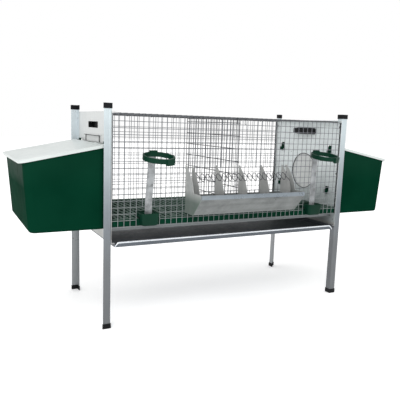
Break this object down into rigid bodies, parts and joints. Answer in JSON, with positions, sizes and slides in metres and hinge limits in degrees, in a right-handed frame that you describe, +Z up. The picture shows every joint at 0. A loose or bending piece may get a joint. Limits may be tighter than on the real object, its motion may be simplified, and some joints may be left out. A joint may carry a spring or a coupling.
{
  "type": "rabbit cage",
  "caption": "Rabbit cage on angle legs: wire-net walls and lids, sheet side panels, plastic nest boxes, slatted floor, feeder, drinkers and a sliding droppings tray.",
  "frame": {"origin": "middle of the object's box at floor level", "axes": "+X along the length to the right, +Y to the back, +Z up; the feeder faces -Y"},
  "size_m": [1.7878, 0.685, 0.876],
  "materials": {
    "galvanised_sheet": "galvanised",
    "galvanised_wire": "galvanised",
    "leg_steel": "galvanised",
    "tray_sheet": "galvanised",
    "feeder_sheet": "galvanised",
    "rivet_steel": "plain",
    "pin_steel": "plain",
    "green_gloss_plastic": "gloss",
    "green_plastic": "satin",
    "white_plastic": "gloss",
    "black_plastic": "matte"
  },
  "bodies": {
    "frame": {"leg_front_left": "leg_steel", "leg_cap_front_left": "black_plastic", "leg_foot_front_left": "black_plastic", "leg_front_right": "leg_steel", "leg_cap_front_right": "black_plastic", "leg_foot_front_right": "black_plastic", "leg_back_left": "leg_steel", "leg_cap_back_left": "black_plastic", "leg_foot_back_left": "black_plastic", "leg_back_right": "leg_steel", "leg_cap_back_right": "black_plastic", "leg_foot_back_right": "black_plastic", "side_panel_left": "galvanised_sheet", "door_guide_left": "galvanised_sheet", "drinker_strip_left": "galvanised_sheet", "drinker_ring_left": "green_plastic", "drinker_cup_left": "green_plastic", "side_panel_right": "galvanised_sheet", "door_guide_right": "galvanised_sheet", "drinker_strip_right": "galvanised_sheet", "drinker_ring_right": "green_plastic", "drinker_cup_right": "green_plastic", "tray_runners": "galvanised_sheet", "handle_grips": "black_plastic", "panel_rivets": "rivet_steel", "guide_rivets": "rivet_steel", "drinker_rivets": "rivet_steel", "front_mesh": "galvanised_wire", "back_mesh": "galvanised_wire", "divider_mesh": "galvanised_wire", "lid_hinge_rings": "galvanised_wire", "floor_panel_1": "green_plastic", "floor_panel_2": "green_plastic", "floor_panel_3": "green_plastic", "floor_panel_4": "green_plastic", "floor_bar_front": "leg_steel", "floor_bar_middle": "leg_steel", "floor_bar_back": "leg_steel"},
    "top_lid_left": {"top_lid_left": "galvanised_wire"},
    "top_lid_right": {"top_lid_right": "galvanised_wire"},
    "lid_hook_left": {"lid_hook_left": "galvanised_wire"},
    "lid_hook_right": {"lid_hook_right": "galvanised_wire"},
    "nest_left": {"nest_left": "green_gloss_plastic", "nest_hinge_pin_left": "pin_steel"},
    "nest_right": {"nest_right": "green_gloss_plastic", "nest_hinge_pin_right": "pin_steel"},
    "nest_lid_left": {"nest_lid_left": "white_plastic"},
    "nest_lid_right": {"nest_lid_right": "white_plastic"},
    "nest_door_left": {"nest_door_left": "galvanised_sheet"},
    "nest_door_right": {"nest_door_right": "galvanised_sheet"},
    "tray": {"droppings_tray": "tray_sheet"},
    "feeder": {"feeder_trough": "feeder_sheet", "feeder_end_left": "feeder_sheet", "feeder_end_right": "feeder_sheet", "feeder_guard_wire": "galvanised_wire", "feeder_partition_1": "feeder_sheet", "feeder_partition_2": "feeder_sheet", "feeder_partition_3": "feeder_sheet", "feeder_partition_4": "feeder_sheet", "feeder_partition_5": "feeder_sheet"}
  },
  "joints": [
    {"name": "top_lid_left_hinge", "type": "hinge", "parent": "frame", "child": "top_lid_left", "pos_m": [-0.268, 0.32994, 0.8388], "axis": [-1, 0, 0], "range_deg": [0, 100]},
    {"name": "lid_hook_left_swing", "type": "hinge", "parent": "top_lid_left", "child": "lid_hook_left", "pos_m": [-0.01889, -0.18306, 0.8388], "axis": [-1, 0, 0], "range_deg": [0, 100]},
    {"name": "nest_left_lift", "type": "slide", "parent": "frame", "child": "nest_left", "axis": [0, 0, 1], "range_m": [0, 0.014]},
    {"name": "nest_lid_left_hinge", "type": "hinge", "parent": "nest_left", "child": "nest_lid_left", "pos_m": [-0.577, 0.08094, 0.71945], "axis": [0, 1, 0], "range_deg": [0, 88]},
    {"name": "nest_door_left_slide", "type": "slide", "parent": "frame", "child": "nest_door_left", "axis": [0, 0, 1], "range_m": [0, 0.185]},
    {"name": "top_lid_right_hinge", "type": "hinge", "parent": "frame", "child": "top_lid_right", "pos_m": [0.268, 0.32994, 0.8388], "axis": [-1, 0, 0], "range_deg": [0, 100]},
    {"name": "lid_hook_right_swing", "type": "hinge", "parent": "top_lid_right", "child": "lid_hook_right", "pos_m": [0.01889, -0.18306, 0.8388], "axis": [-1, 0, 0], "range_deg": [0, 100]},
    {"name": "nest_right_lift", "type": "slide", "parent": "frame", "child": "nest_right", "axis": [0, 0, 1], "range_m": [0, 0.014]},
    {"name": "nest_lid_right_hinge", "type": "hinge", "parent": "nest_right", "child": "nest_lid_right", "pos_m": [0.577, 0.08094, 0.71945], "axis": [0, -1, 0], "range_deg": [0, 88]},
    {"name": "nest_door_right_slide", "type": "slide", "parent": "frame", "child": "nest_door_right", "axis": [0, 0, 1], "range_m": [0, 0.185]},
    {"name": "tray_slide", "type": "slide", "parent": "frame", "child": "tray", "axis": [0, -1, 0], "range_m": [0, 0.42]},
    {"name": "feeder_lift", "type": "slide", "parent": "frame", "child": "feeder", "axis": [0, 0, 1], "range_m": [0, 0.012]}
  ]
}
